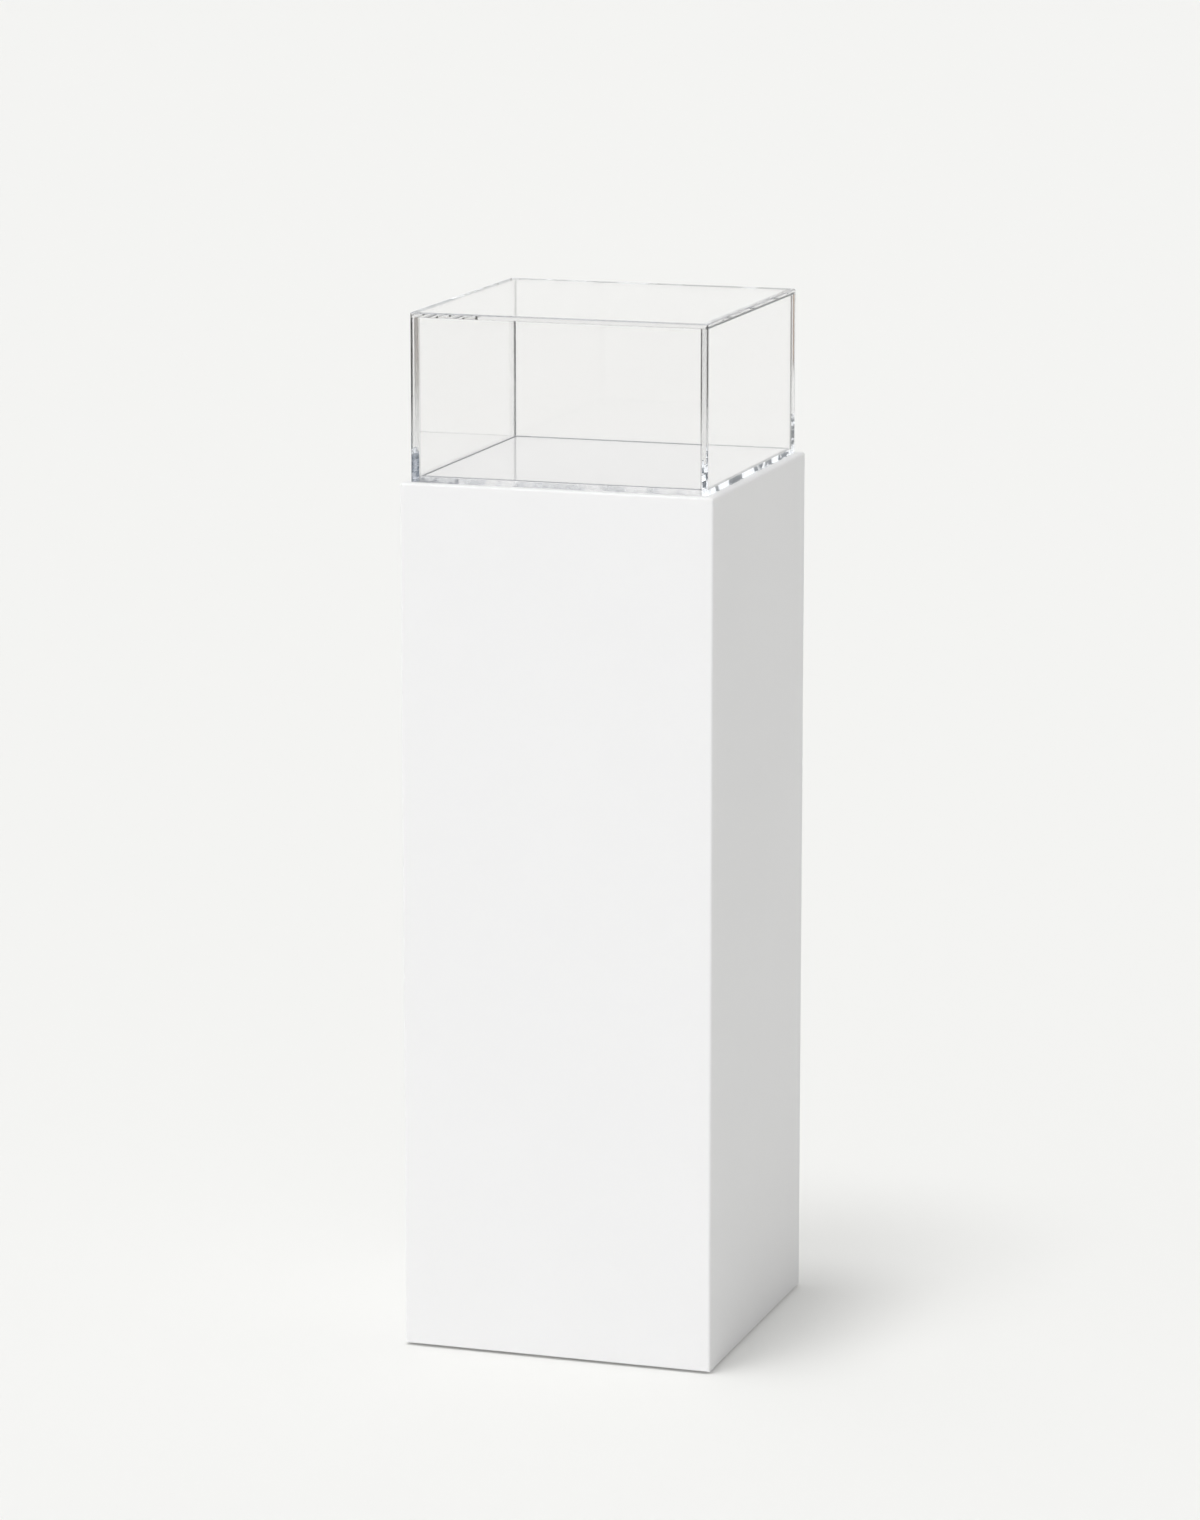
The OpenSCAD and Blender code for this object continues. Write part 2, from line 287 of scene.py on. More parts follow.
@dataclass(frozen=True)
class ClearSheet:
    """Clear polished sheet that bends light, and lets lamps light what stands behind it."""

    colour: Colour = (0.982, 0.980, 0.981)
    bends: float = 1.49
    tint: Colour = (0.71, 0.72, 0.73)
    density: float = 0.8
    lamp_share: Colour = (0.965, 0.965, 0.965)
    handling_scale: float = 14.0
    handling_haze: float = 0.004

    def build(self, name: str) -> bpy.types.Material:
        """Make the material.

        Args:
            name: The material's name.

        Returns:
            The finished material.
        """
        material, sheet = new_material(name)
        handling = sheet.noise(sheet.place(), self.handling_scale, detail=3.0)
        clear = sheet.node(
            "BsdfPrincipled",
            {},
            {
                "Base Color": self.colour,
                "Roughness": handling * self.handling_haze,
                "IOR": self.bends,
                "Transmission Weight": 1.0,
            },
        )
        lamps = sheet.node("BsdfTransparent", {}, {"Color": self.lamp_share})
        path = sheet.node("LightPath")
        straight = sheet.out(path, "Is Shadow Ray").largest(sheet.out(path, "Is Diffuse Ray"))
        surface = sheet.node(
            "MixShader", {}, {0: straight, 1: clear.outputs[0], 2: lamps.outputs[0]}
        )
        absorbed = sheet.node(
            "VolumeAbsorption", {}, {"Color": self.tint, "Density": self.density}
        )
        sheet.node(
            "OutputMaterial", {}, {"Surface": surface.outputs[0], "Volume": absorbed.outputs[0]}
        )
        return material


class Grain(Enum):
    """Direction in which a wooden piece's grain runs, as the stretch of its pattern."""

    ALONG_X = (4.0, 60.0, 60.0)
    ALONG_Y = (60.0, 4.0, 60.0)
    ALONG_Z = (60.0, 60.0, 4.0)


@dataclass(frozen=True)
class PlanedWood:
    """Planed wood: pale and dark rings drawn out along the grain, with fine pores."""

    pale: Colour = (0.72, 0.55, 0.36)
    dark: Colour = (0.52, 0.34, 0.19)
    grain: Grain = Grain.ALONG_Z
    contrast: float = 1.3
    pores_per_ring: float = 12.0
    pore_depth: float = 0.08 * MM
    roughness: float = 0.52
    roughness_spread: float = 0.2

    def build(self, name: str) -> bpy.types.Material:
        """Make the material.

        Args:
            name: The material's name.

        Returns:
            The finished material.
        """
        material, sheet = new_material(name)
        along = sheet.stretched(self.grain.value)
        rings = sheet.noise(along, 1.0, detail=4.0, twist=1.6)
        pores = sheet.noise(along, self.pores_per_ring)
        darker = rings * self.contrast - (self.contrast - 1) / 2
        sheet.coat(
            {
                "Base Color": sheet.between(darker, self.pale, self.dark),
                "Roughness": self.roughness + pores * self.roughness_spread,
                "Normal": sheet.bump(pores, self.pore_depth, strength=0.5),
            }
        )
        return material


@dataclass(frozen=True)
class PressedBoard:
    """Raw fibreboard: pressed fibres with darker specks."""

    fibre: Colour = (0.50, 0.36, 0.23)
    speck: Colour = (0.30, 0.20, 0.12)
    fibre_scale: float = 900.0
    fibre_share: float = 0.3
    fibre_depth: float = 0.05 * MM
    speck_scale: float = 260.0
    speck_edge: Span = (0.58, 0.70)
    speck_share: float = 0.6
    roughness: float = 0.78
    roughness_spread: float = 0.15

    def build(self, name: str) -> bpy.types.Material:
        """Make the material.

        Args:
            name: The material's name.

        Returns:
            The finished material.
        """
        material, sheet = new_material(name)
        place = sheet.place()
        fibres = sheet.noise(place, self.fibre_scale, detail=3.0)
        specks = sheet.stepped(sheet.noise(place, self.speck_scale), *self.speck_edge)
        darker = specks * self.speck_share + fibres * self.fibre_share
        sheet.coat(
            {
                "Base Color": sheet.between(darker, self.fibre, self.speck),
                "Roughness": self.roughness + fibres * self.roughness_spread,
                "Normal": sheet.bump(fibres, self.fibre_depth, strength=0.5),
            }
        )
        return material


@dataclass(frozen=True)
class PlatedSteel:
    """Bright zinc plating, a little cloudy."""

    bright: Colour = (0.66, 0.66, 0.64)
    dull: Colour = (0.50, 0.51, 0.52)
    cloud_scale: float = 350.0
    scratch_scale: float = 2500.0
    scratch_depth: float = 0.01 * MM
    roughness: float = 0.28
    roughness_spread: float = 0.15

    def build(self, name: str) -> bpy.types.Material:
        """Make the material.

        Args:
            name: The material's name.

        Returns:
            The finished material.
        """
        material, sheet = new_material(name)
        place = sheet.place()
        clouds = sheet.noise(place, self.cloud_scale, detail=3.0)
        scratches = sheet.noise(place, self.scratch_scale, detail=1.0)
        sheet.coat(
            {
                "Base Color": sheet.between(clouds, self.bright, self.dull),
                "Metallic": 1.0,
                "Roughness": self.roughness + clouds * self.roughness_spread,
                "Normal": sheet.bump(scratches, self.scratch_depth, strength=0.4),
            }
        )
        return material


@dataclass(frozen=True)
class SoftSeal:
    """Matt grey silicone with a fine powdery grain."""

    colour: Colour = (0.38, 0.39, 0.41)
    dusty: Colour = (0.46, 0.47, 0.49)
    dust_scale: float = 120.0
    powder_scale: float = 1800.0
    powder_depth: float = 0.02 * MM
    roughness: float = 0.55
    roughness_spread: float = 0.2

    def build(self, name: str) -> bpy.types.Material:
        """Make the material.

        Args:
            name: The material's name.

        Returns:
            The finished material.
        """
        material, sheet = new_material(name)
        place = sheet.place()
        dust = sheet.noise(place, self.dust_scale, detail=3.0)
        powder = sheet.noise(place, self.powder_scale)
        sheet.coat(
            {
                "Base Color": sheet.between(dust, self.colour, self.dusty),
                "Roughness": self.roughness + dust * self.roughness_spread,
                "Normal": sheet.bump(powder, self.powder_depth, strength=0.4),
            }
        )
        return material


@dataclass(frozen=True)
class MouldedNylon:
    """Off-white moulded nylon with a fine mould grain."""

    colour: Colour = (0.78, 0.78, 0.75)
    shade: Colour = (0.70, 0.70, 0.67)
    cloud_scale: float = 90.0
    mould_scale: float = 1500.0
    mould_depth: float = 0.03 * MM
    roughness: float = 0.45
    roughness_spread: float = 0.12

    def build(self, name: str) -> bpy.types.Material:
        """Make the material.

        Args:
            name: The material's name.

        Returns:
            The finished material.
        """
        material, sheet = new_material(name)
        place = sheet.place()
        clouds = sheet.noise(place, self.cloud_scale)
        mould = sheet.noise(place, self.mould_scale)
        sheet.coat(
            {
                "Base Color": sheet.between(clouds, self.colour, self.shade),
                "Roughness": self.roughness + mould * self.roughness_spread,
                "Normal": sheet.bump(mould, self.mould_depth, strength=0.4),
            }
        )
        return material


@dataclass(frozen=True)
class CementAndPaintedShade:
    """A thin dark film in or on clear sheet that grows denser between two heights: partly
    solvent cement, partly painted shade for the dark lines that the sheet's edges and joints
    show.
    """

    at_foot: float
    at_top: float
    foot: float = 1.03
    top: float = 1.17
    grey: Colour = (0.11, 0.12, 0.13)
    warm: Colour = (0.13, 0.12, 0.11)
    patch: float = 22.0
    warmth: float = 1.6
    unevenness: float = 0.5
    roughness: float = 0.25
    roughness_spread: float = 0.2

    def build(self, name: str) -> bpy.types.Material:
        """Make the material.

        Args:
            name: The material's name.

        Returns:
            The finished material.
        """
        material, sheet = new_material(name)
        place = sheet.place()
        height = sheet.out(sheet.node("SeparateXYZ", {}, {0: place}), "Z")
        rise = sheet.stepped(height, self.foot, self.top)
        patches = sheet.noise(place, self.patch, twist=0.5)
        warmer = rise * patches * self.warmth
        film = self.at_foot + rise * (self.at_top - self.at_foot)
        patchy = 1 - self.unevenness / 2 + patches * self.unevenness
        # The film's grey and alpha: partly cement, partly painted shade.
        sheet.coat(
            {
                "Base Color": sheet.between(warmer, self.grey, self.warm),
                "Alpha": film * patchy,
                "Roughness": self.roughness + patches * self.roughness_spread,
            }
        )
        return material


@dataclass(frozen=True)
class PaintedFootLight:
    """Painted light for the flame-polished foot of clear sheet: patches of painted glow that
    stand for piped light, and patches of painted shade that stay dim.
    """

    coverage: float
    bright: Colour = (0.93, 0.94, 0.95)
    shade: Colour = (0.17, 0.21, 0.26)
    glow: Colour = (0.30, 0.31, 0.32)
    no_glow: Colour = (0.0, 0.0, 0.0)
    patch: float = 27.0
    patch_edge: Span = (0.47, 0.56)
    streak: float = 140.0
    shade_share: float = 0.6
    unevenness: float = 0.4
    roughness: float = 0.25
    roughness_spread: float = 0.2

    def build(self, name: str) -> bpy.types.Material:
        """Make the material.

        Args:
            name: The material's name.

        Returns:
            The finished material.
        """
        material, sheet = new_material(name)
        place = sheet.place()
        cells = sheet.noise(place, self.patch, detail=1.5, twist=0.9)
        patches = sheet.stepped(cells, *self.patch_edge)
        streaks = sheet.noise(place, self.streak)
        share = patches * (self.shade_share + streaks * self.shade_share)
        streaky = 1 - self.unevenness / 2 + streaks * self.unevenness
        # Painted glow for piped light in the bright patches, painted shade in the dark ones.
        sheet.coat(
            {
                "Base Color": sheet.between(share, self.bright, self.shade),
                "Alpha": self.coverage * streaky,
                "Roughness": self.roughness + streaks * self.roughness_spread,
                "Emission Color": sheet.between(share, self.glow, self.no_glow),
                "Emission Strength": 1.0,
            }
        )
        return material


# ---- Bench work ----


@contextmanager
def editing(piece: bpy.types.Object) -> Iterator[None]:
    """Hold one piece, and nothing else, in edit mode.

    Args:
        piece: The mesh object to shape.

    Yields:
        Nothing; the piece is back in object mode afterwards.
    """
    bpy.ops.object.select_all(action="DESELECT")
    piece.select_set(True)
    bpy.context.view_layer.objects.active = piece
    bpy.ops.object.mode_set(mode="EDIT")
    try:
        yield
    finally:
        bpy.ops.object.mode_set(mode="OBJECT")


def start_block(name: str, low: Vector, high: Vector) -> bpy.types.Object:
    """Add a box between two corners, with its place and size in its mesh.

    Args:
        name: The piece's name.
        low: The lowest corner.
        high: The highest corner.

    Returns:
        The new piece, selected and active.
    """
    bpy.ops.object.select_all(action="DESELECT")
    bpy.ops.mesh.primitive_cube_add(size=1.0, location=(low + high) / 2)
    piece = bpy.context.active_object
    piece.name = name
    piece.scale = high - low
    bpy.ops.object.transform_apply(location=True, rotation=True, scale=True)
    return piece


def pick_faces(piece: bpy.types.Object, rule: Rule) -> None:
    """Select the faces that a rule wants, in edit mode.

    Args:
        piece: The piece in edit mode.
        rule: Says yes or no to a face's middle and normal.
    """
    bpy.ops.mesh.select_mode(type="FACE")
    bpy.ops.mesh.select_all(action="DESELECT")
    mesh = bmesh.from_edit_mesh(piece.data)
    for face in mesh.faces:
        face.select_set(rule(face.calc_center_median(), face.normal))
    bmesh.update_edit_mesh(piece.data)


def pick_edges(piece: bpy.types.Object, rule: Rule) -> None:
    """Select the edges that a rule wants, in edit mode.

    Args:
        piece: The piece in edit mode.
        rule: Says yes or no to an edge's two ends.
    """
    bpy.ops.mesh.select_mode(type="EDGE")
    bpy.ops.mesh.select_all(action="DESELECT")
    mesh = bmesh.from_edit_mesh(piece.data)
    for edge in mesh.edges:
        edge.select_set(rule(edge.verts[0].co, edge.verts[1].co))
    bmesh.update_edit_mesh(piece.data)


def close_to(a: float, b: float) -> bool:
    """True if two lengths are the same to a hundredth of a millimetre."""
    return abs(a - b) < NEAR


def hollow_from_below(piece: bpy.types.Object, wall: float, depth: float) -> None:
    """Sink the underside of a box, leaving its walls and its top.

    Args:
        piece: The box in edit mode.
        wall: Thickness of the walls that stay.
        depth: How far the underside is sunk.
    """
    pick_faces(piece, lambda at, n: n.z < FACES_DOWN)
    bpy.ops.mesh.inset(thickness=wall)
    bpy.ops.mesh.extrude_region_move(TRANSFORM_OT_translate={"value": (0, 0, depth)})


def ease_edges(radius: float, steps: int) -> None:
    """Round the selected edges in so many flat steps; one step makes a bevel."""
    bpy.ops.mesh.bevel(offset=radius, segments=steps, profile=0.5, affect="EDGES")


def finish_faces(piece: bpy.types.Object, smooth: bool) -> None:
    """Merge doubled corners, turn the faces outwards and shade them.

    Args:
        piece: The piece in object mode.
        smooth: True to shade the rounded edges as round ones beside true flats.
    """
    with editing(piece):
        bpy.ops.mesh.select_all(action="SELECT")
        bpy.ops.mesh.remove_doubles(threshold=WELD)
        bpy.ops.mesh.normals_make_consistent(inside=False)
    if smooth:
        bpy.ops.object.shade_smooth_by_angle(angle=SMOOTH_BELOW)
        weigh = piece.modifiers.new("flats_stay_flat", "WEIGHTED_NORMAL")
        weigh.keep_sharp = True
        weigh.weight = FLATS_FIRST
        bpy.ops.object.modifier_apply(modifier=weigh.name)
    else:
        bpy.ops.object.shade_flat()


def dress(piece: bpy.types.Object, finish: bpy.types.Material) -> None:
    """Give a piece one finish all over.

    Args:
        piece: The new piece or CAD node.
        finish: The material.
    """
    if not piece.material_slots:
        piece.data.materials.append(finish)
    for slot in piece.material_slots:
        slot.material = finish


def repaint(piece: bpy.types.Object, finish: bpy.types.Material, rule: Rule) -> None:
    """Give some faces of a piece another finish.

    Args:
        piece: The piece in object mode.
        finish: The material.
        rule: Says yes or no to a face's middle and normal.
    """
    piece.data.materials.append(finish)
    with editing(piece):
        pick_faces(piece, rule)
        piece.active_material_index = len(piece.material_slots) - 1
        bpy.ops.object.material_slot_assign()


def cut_across(point: Vector, facing: Vector) -> None:
    """Cut all faces along a plane, in edit mode."""
    bpy.ops.mesh.select_all(action="SELECT")
    bpy.ops.mesh.bisect(plane_co=point, plane_no=facing)


def extrude_edges(rise: float) -> None:
    """Draw the selected edges up into upright faces, or down where the rise is negative."""
    bpy.ops.mesh.extrude_edges_move(TRANSFORM_OT_translate={"value": (0, 0, rise)})


def thicken(piece: bpy.types.Object, thickness: float) -> None:
    """Make an open skin solid, to both sides alike.

    Args:
        piece: The piece in object mode.
        thickness: How thick it becomes.
    """
    solid = piece.modifiers.new("skin", "SOLIDIFY")
    solid.thickness = thickness
    solid.offset = 0
    bpy.ops.object.modifier_apply(modifier=solid.name)
    finish_faces(piece, smooth=False)


# ---- The case ----


@dataclass
class Plinth:
    """The lacquered carcass: one coat of lacquer runs over its five mitred boards."""

    finish: Lacquer = Lacquer()
    body: str = "plinth"
    arris: float = 3.0 * MM
    arris_steps: int = 6
    foot_bevel: float = 1.0 * MM
    foot_steps: int = 2
    board: float = field(init=False)
    half: float = field(init=False)
    top: float = field(init=False)
    foot: float = field(init=False)
    BOARDS: ClassVar[tuple[str, ...]] = (
        "front_panel",
        "back_panel",
        "left_panel",
        "right_panel",
        "top_panel",
    )

    def __post_init__(self) -> None:
        """Read the carcass's sizes from the frame."""
        front_low, front_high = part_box("front_panel")
        self.board = front_high.y - front_low.y
        self.half = -front_low.y
        self.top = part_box("top_panel")[1].z
        self.foot = front_low.z

    def build(self) -> bpy.types.Object:
        """Model the carcass as a box sunk from below, with rounded edges, and dress it.

        Returns:
            The carcass.
        """
        low = Vector((-self.half, -self.half, self.foot))
        high = Vector((self.half, self.half, self.top))
        shell = start_block("plinth_shell", low, high)
        with editing(shell):
            hollow_from_below(shell, self.board, self.top - self.foot - self.board)
            pick_edges(shell, self.is_outer_foot)
            ease_edges(self.foot_bevel, self.foot_steps)
            pick_edges(shell, self.is_arris)
            ease_edges(self.arris, self.arris_steps)
        finish_faces(shell, smooth=True)
        dress(shell, self.finish.build("white_lacquer"))
        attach(shell, self.body)
        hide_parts(*self.BOARDS)
        return shell

    def is_outer_foot(self, a: Vector, b: Vector) -> bool:
        """True for an edge of the outer rim at the foot."""
        at_foot = close_to(a.z, self.foot) and close_to(b.z, self.foot)
        return at_foot and all(max(abs(v.x), abs(v.y)) > self.half - NEAR for v in (a, b))

    def is_arris(self, a: Vector, b: Vector) -> bool:
        """Pick the upright outer edges and the edges round the top.

        Args:
            a: One end of an edge.
            b: Its other end.

        Returns:
            True for such an edge.
        """
        round_top = close_to(a.z, self.top) and close_to(b.z, self.top)
        near_half = self.half - self.foot_bevel - NEAR
        outside = all(min(abs(v.x), abs(v.y)) > near_half for v in (a, b))
        upright = abs(a.z - b.z) > self.top / 2
        return round_top or (upright and outside)


@dataclass
class Deck:
    """The raised display deck, a thin glossy board that keeps the cover in place."""

    finish: Lacquer = Lacquer(
        sheen=0.012, sheen_spread=0.006, shine=0.8, peel_depth=0.001 * MM
    )
    body: str = "plinth"
    arris: float = 1.0 * MM
    arris_steps: int = 3

    def build(self) -> bpy.types.Object:
        """Model the deck as a slab with its upper and upright edges eased, and dress it.

        Returns:
            The deck.
        """
        low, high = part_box("deck_board")
        deck = start_block("display_deck", low, high)
        with editing(deck):
            pick_edges(deck, lambda a, b: max(a.z, b.z) > high.z - NEAR)
            ease_edges(self.arris, self.arris_steps)
        finish_faces(deck, smooth=True)
        dress(deck, self.finish.build("gloss_white"))
        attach(deck, self.body)
        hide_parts("deck_board")
        return deck


@dataclass(frozen=True)
class CoverFinishes:
    """Every finish that the cover's sheet, edges, joints and foot have, with the painted shade
    on its bevels, joints and lines and the painted glow and shade of its foot skin.
    """

    sheet: ClearSheet = ClearSheet()
    # Painted shade on the polished outer bevels, darkest on the left, a lighter grey on top.
    upright_bevel_shade: CementAndPaintedShade = CementAndPaintedShade(at_foot=0.15, at_top=0.95, top=1.15)
    left_bevel_shade: CementAndPaintedShade = CementAndPaintedShade(
        0.15, 0.98, top=1.14, grey=(0.04, 0.05, 0.06), warm=(0.01, 0.01, 0.01)
    )
    top_bevel_shade: CementAndPaintedShade = CementAndPaintedShade(0.57, 0.57, grey=(0.35, 0.39, 0.46), warm=(0.39, 0.39, 0.40))
    # Films in the joints: partly cement, partly painted shade for the dark lines along the
    # panes' edges.
    top_joint: CementAndPaintedShade = CementAndPaintedShade(0.18, 0.18, grey=(0.20, 0.22, 0.24), warm=(0.24, 0.24, 0.24))
    thin_joint: CementAndPaintedShade = CementAndPaintedShade(at_foot=0.02, at_top=0.04)
    thick_joint: CementAndPaintedShade = CementAndPaintedShade(0.05, 0.42, grey=(0.20, 0.20, 0.20), warm=(0.26, 0.19, 0.13))
    end_smear: CementAndPaintedShade = CementAndPaintedShade(
        0.02, 1.0, 1.085, 1.12, grey=(0.05, 0.02, 0.01), warm=(0.40, 0.22, 0.10), patch=14.0
    )
    # Painted shade: a dark line in the top pane's right edge.
    right_shade_line: CementAndPaintedShade = CementAndPaintedShade(0.78, 0.78, grey=(0.12, 0.15, 0.19), warm=(0.20, 0.21, 0.22))
    # Painted shade: a dark strip for the line at the front pane's left end.
    left_shade_line: CementAndPaintedShade = CementAndPaintedShade(
        0.10, 0.92, top=1.15, grey=(0.03, 0.04, 0.05), warm=(0.02, 0.02, 0.02)
    )
    # Cement coves in the inner corners; their grey tone is partly painted shade.
    faint_bead: CementAndPaintedShade = CementAndPaintedShade(at_foot=0.10, at_top=0.15)
    back_bead: CementAndPaintedShade = CementAndPaintedShade(at_foot=0.50, at_top=0.75)
    strong_bead: CementAndPaintedShade = CementAndPaintedShade(at_foot=0.15, at_top=0.85, top=1.15)
    # The foot skin is painted light: patches of painted glow that stand for piped light, and
    # patches of painted shade.
    faint_foot: PaintedFootLight = PaintedFootLight(
        coverage=0.30,
        bright=(0.90, 0.90, 0.90),
        shade=(0.72, 0.74, 0.76),
        glow=(0.12, 0.12, 0.12),
        no_glow=(0.07, 0.07, 0.07),
    )
    corner_foot: PaintedFootLight = PaintedFootLight(
        coverage=0.24,
        bright=(0.86, 0.88, 0.90),
        shade=(0.12, 0.15, 0.20),
        glow=(0.0, 0.0, 0.0),
        patch=95.0,
    )
    left_foot: PaintedFootLight = PaintedFootLight(
        coverage=0.55,
        bright=(0.76, 0.80, 0.84),
        shade=(0.28, 0.34, 0.41),
        glow=(0.05, 0.05, 0.06),
        patch=45.0,
    )
    back_foot: PaintedFootLight = PaintedFootLight(
        coverage=0.95,
        bright=(0.90, 0.92, 0.94),
        shade=(0.06, 0.09, 0.13),
        glow=(0.28, 0.29, 0.30),
        patch=31.0,
    )
    right_foot: PaintedFootLight = PaintedFootLight(coverage=0.85)
    end_foot: PaintedFootLight = PaintedFootLight(coverage=0.85, patch=150.0)


@dataclass
class Cover:
    """The clear cover: five panes cemented edge to face, with polished outer edges.

    The cement, whose dark tone is partly painted shade, and a thin patchy skin of painted glow
    and painted shade at the foot lie inside the sheet, which bends their tones into the lines
    and figures along its edges. The outer bevels carry painted shade. The skin is set back from
    the sheet's faces by setback, the cement by film_setback, and the skin's figures change their
    scale past busy_from.
    """

    finishes: CoverFinishes = CoverFinishes()
    body: str = "cover"
    polish_bevel: float = 1.4 * MM
    seat_gap: float = 0.15 * MM
    film: float = 0.1 * MM
    setback: float = 1.0 * MM
    film_setback: float = 3.0 * MM
    line_height: float = 2.3 * MM
    foot_height: float = 5.5 * MM
    busy_from: float = 118.0 * MM
    bead_size: float = 1.7 * MM
    bead_gap: float = 0.03 * MM
    bead_hollow: float = 0.8
    bead_profile: float = 0.15
    bead_steps: int = 3
    half: float = field(init=False)
    wall: float = field(init=False)
    inner: float = field(init=False)
    rim: float = field(init=False)
    seat: float = field(init=False)
    joint: float = field(init=False)
    top: float = field(init=False)
    PANES: ClassVar[tuple[str, ...]] = (
        "cover_front_pane",
        "cover_back_pane",
        "cover_left_pane",
        "cover_right_pane",
        "cover_top_pane",
    )

    def __post_init__(self) -> None:
        """Read the cover's sizes from the frame."""
        front_low, front_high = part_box("cover_front_pane")
        top_low, top_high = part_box("cover_top_pane")
        self.half = -front_low.y
        self.wall = front_high.y - front_low.y
        self.inner = self.half - self.wall
        self.rim = self.half - self.film_setback
        self.seat = front_low.z + self.seat_gap
        self.joint = top_low.z
        self.top = top_high.z

    def build(self) -> list[bpy.types.Object]:
        """Model the sheet and what shows in its joints and at its foot.

        Returns:
            The cover's pieces.
        """
        pieces = [self.build_sheet(), self.build_films(), self.build_foot(), self.build_beads()]
        for piece in pieces:
            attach(piece, self.body)
        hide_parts(*self.PANES)
        return pieces

    def build_sheet(self) -> bpy.types.Object:
        """Model the five panes as a box sunk from below, with polished bevels outside that carry
        painted shade.

        Returns:
            The sheet.
        """
        low = Vector((-self.half, -self.half, self.seat))
        high = Vector((self.half, self.half, self.top))
        sheet = start_block("cover_shell", low, high)
        dress(sheet, self.finishes.sheet.build("clear_sheet"))
        with editing(sheet):
            hollow_from_below(sheet, self.wall, self.joint - self.seat)
            pick_edges(sheet, self.is_outer)
            ease_edges(self.polish_bevel, 1)
        # Painted shade on the bevels, darkest on the left; the top bevels a lighter grey.
        self.paint(sheet, "upright_bevel_shade", self.is_bevel)
        self.paint(sheet, "left_bevel_shade", lambda at, n: self.is_bevel(at, n) and max(at.xy) < 0)
        self.paint(sheet, "top_bevel_shade", lambda at, n: self.is_bevel(at, n) and n.z > FACES_UP)
        finish_faces(sheet, smooth=False)
        return sheet

    def build_films(self) -> bpy.types.Object:
        """Model the cement films, whose dark tone is partly painted shade: a ring under the top
        pane, and strips that hang from it.

        The strips hang where panes butt and in the back pane's right end. A low line of painted
        shade stands on the ring's right rim, in the top pane's edge.

        Returns:
            The films.
        """
        films = self.start_square("cement_and_shade_films", self.rim, self.joint)
        with editing(films):
            for side in (Vector((1, 0, 0)), Vector((0, 1, 0))):
                for sign in (-1, 1):
                    cut_across(side * self.inner * sign, side)
            pick_faces(films, lambda at, n: max(abs(at.x), abs(at.y)) < self.inner)
            bpy.ops.mesh.delete(type="FACE")
            pick_edges(films, self.holds_film)
            extrude_edges(self.seat - self.joint + self.setback)
            pick_edges(films, self.is_right_rim)
            extrude_edges(self.line_height)
        thicken(films, self.film)
        dress(films, self.finishes.top_joint.build("top_joint"))
        below = self.joint - self.setback
        end = self.inner + self.setback
        # Joint films: partly cement, partly painted shade.
        self.paint(films, "thin_joint", lambda at, n: at.z < below)
        self.paint(films, "thick_joint", lambda at, n: max(at.xy) < 0 and at.z < below)
        self.paint(films, "end_smear", lambda at, n: at.y > end and at.z < below)
        # Painted shade: the line on the right rim.
        self.paint(films, "right_shade_line", lambda at, n: at.z > self.joint + self.setback)
        return films

    def build_foot(self) -> bpy.types.Object:
        """Model painted glow and painted shade for the panes' polished foot, as a thin skin just
        inside the sheet.

        A tall strip of painted shade stands on the skin in the front pane's left end, for the
        dark line there.

        Returns:
            The foot.
        """
        rim = self.half - self.setback
        foot = self.start_square("cover_foot_painted_light", rim, self.seat + 2 * self.film)
        with editing(foot):
            bpy.ops.mesh.select_all(action="SELECT")
            bpy.ops.mesh.inset(thickness=self.wall - 2 * self.setback)
            pick_faces(foot, lambda at, n: at.xy.length < self.setback)
            bpy.ops.mesh.delete(type="ONLY_FACE")
            pick_edges(foot, self.is_inner_rim)
            extrude_edges(self.foot_height)
            for way in (Vector((-self.busy_from, 0, 0)), Vector((0, self.busy_from, 0))):
                cut_across(way, way)
            cut_across(Vector((0, -self.inner, 0)), Vector((0, 1, 0)))
            pick_edges(foot, self.is_left_end)
            extrude_edges(self.joint - self.seat - self.setback)
        thicken(foot, self.film)
        # Painted light: each part of the foot skin gets its own mix of painted glow and painted
        # shade.
        dress(foot, self.finishes.faint_foot.build("faint_foot"))
        busy = self.busy_from
        self.paint(foot, "corner_foot", lambda at, n: at.x < -busy and at.y < 0)
        self.paint(foot, "left_foot", lambda at, n: at.x < -self.inner)
        self.paint(foot, "back_foot", lambda at, n: at.y > self.inner - self.setback)
        self.paint(foot, "right_foot", lambda at, n: at.x > self.inner)
        self.paint(
            foot, "end_foot", lambda at, n: at.y > busy and not -busy < at.x < self.inner
        )
        # Painted shade: the dark strip at the front pane's left end.
        self.paint(foot, "left_shade_line", lambda at, n: at.z > self.seat + 2 * self.foot_height)
        return foot

    def start_square(self, name: str, half: float, height: float) -> bpy.types.Object:
        """Add a flat square that lies inside the cover's sheet.

        Args:
            name: The piece's name.
            half: Half of the square's width.
            height: How high the square lies.

        Returns:
            The square.
        """
        bpy.ops.object.select_all(action="DESELECT")
        bpy.ops.mesh.primitive_plane_add(size=2 * half, location=(0, 0, height))
        square = bpy.context.active_object
        square.name = name
        bpy.ops.object.transform_apply(location=True, rotation=True, scale=True)
        return square

